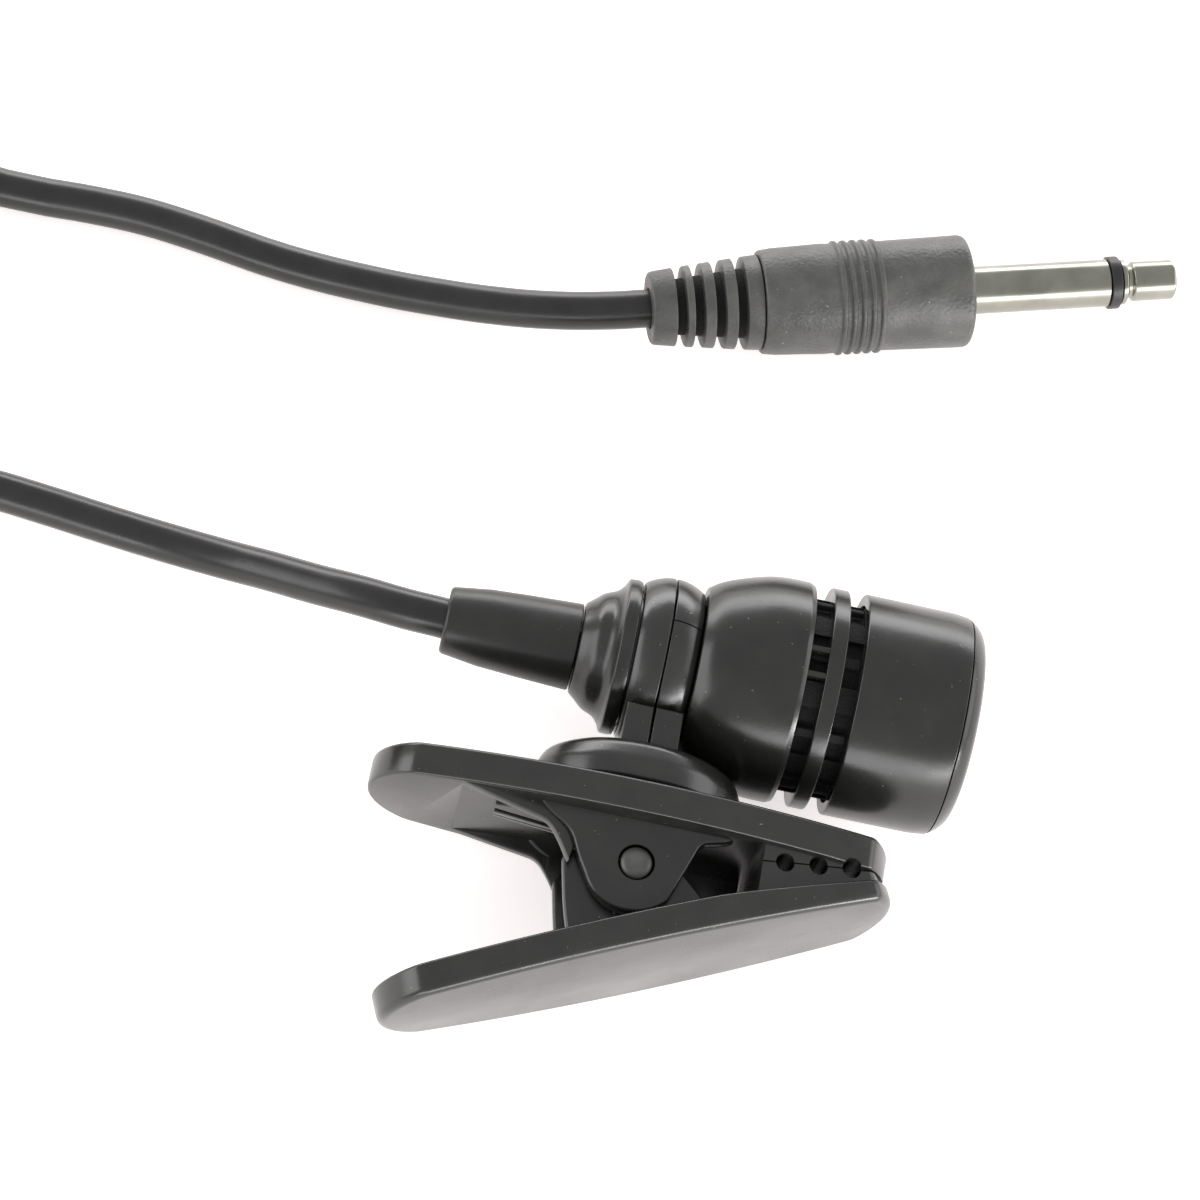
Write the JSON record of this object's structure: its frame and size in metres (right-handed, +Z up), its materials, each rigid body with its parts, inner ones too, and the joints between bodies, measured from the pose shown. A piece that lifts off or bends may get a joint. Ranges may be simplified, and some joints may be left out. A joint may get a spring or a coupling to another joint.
{
  "type": "lavalier microphone",
  "caption": "Clip-on lavalier microphone with a vented cylindrical head, a sprung lapel clip, a black lead and a 3.5 mm plug.",
  "frame": {"origin": "centre of the bounding box of the microphone head, holder and clip, on the surface they lie on; the lead, its coil and the plug are left out of the box", "axes": "+X towards the front of the microphone head and the jaws of the clip, +Y from the clip towards the head, +Z up from the surface"},
  "size_m": [0.1304, 0.0791, 0.0151],
  "materials": {
    "shell": "black moulded plastic, satin",
    "clip": "black moulded plastic, semi-gloss",
    "relief": "soft black moulding, satin",
    "cord": "black cable jacket, satin",
    "plug_body": "dark grey moulded plastic, matte",
    "nickel": "nickel plate, polished",
    "steel": "spring steel",
    "pin": "blackened steel",
    "brass": "tinned solder lugs",
    "foam": "open-cell foam",
    "cloth": "fine woven acoustic cloth",
    "seal_rubber": "soft rubber",
    "capsule_metal": "pressed can",
    "board": "green circuit board",
    "red_wire": "red insulated wire",
    "black_wire": "black insulation"
  },
  "bodies": {
    "head": {"rear_shell": "shell", "front_shell": "shell", "front_grille": "shell", "vent_cage": "shell", "vent_cloth": "cloth", "front_foam": "foam", "capsule_boot": "seal_rubber", "capsule_can": "capsule_metal", "capsule_felt": "foam", "capsule_board": "board", "rear_collar": "shell", "strain_relief": "relief", "signal_wire": "red_wire", "ground_wire": "black_wire", "cord_mic_side": "cord", "cord_plug_side": "cord", "cord_coil": "cord", "plug_barrel": "plug_body", "plug_boot": "plug_body", "plug_sleeve": "nickel", "plug_insulator": "black_wire", "plug_tip": "nickel", "plug_ground_lug": "brass", "plug_tip_lug": "brass"},
    "holder": {"ring_rear_half": "clip", "ring_front_half": "clip", "swivel_base": "clip", "swivel_rivet": "steel"},
    "clip_upper": {"upper_arm": "clip", "pivot_pin": "pin", "torsion_spring": "steel"},
    "clip_lower": {"lower_arm": "clip"}
  },
  "joints": [
    {"name": "ring_spin", "type": "hinge", "parent": "head", "child": "holder", "pos_m": [-0.00092, 0.0092, 0.00755], "axis": [0.9736, -0.2284, 0], "range_deg": [-120, 120]},
    {"name": "swivel", "type": "hinge", "parent": "holder", "child": "clip_upper", "pos_m": [-0.00332, -0.00103, 0.00711], "axis": [0.2282, 0.9727, 0.0419], "continuous": true},
    {"name": "jaw_hinge", "type": "hinge", "parent": "clip_upper", "child": "clip_lower", "pos_m": [-0.00394, -0.00602, 0.0069], "axis": [0.0096, 0.0408, -0.9991], "range_deg": [0, 30], "stiffness_Nm_per_rad": 0.1, "springref_deg": -22.92, "deforming": ["torsion_spring"]}
  ]
}
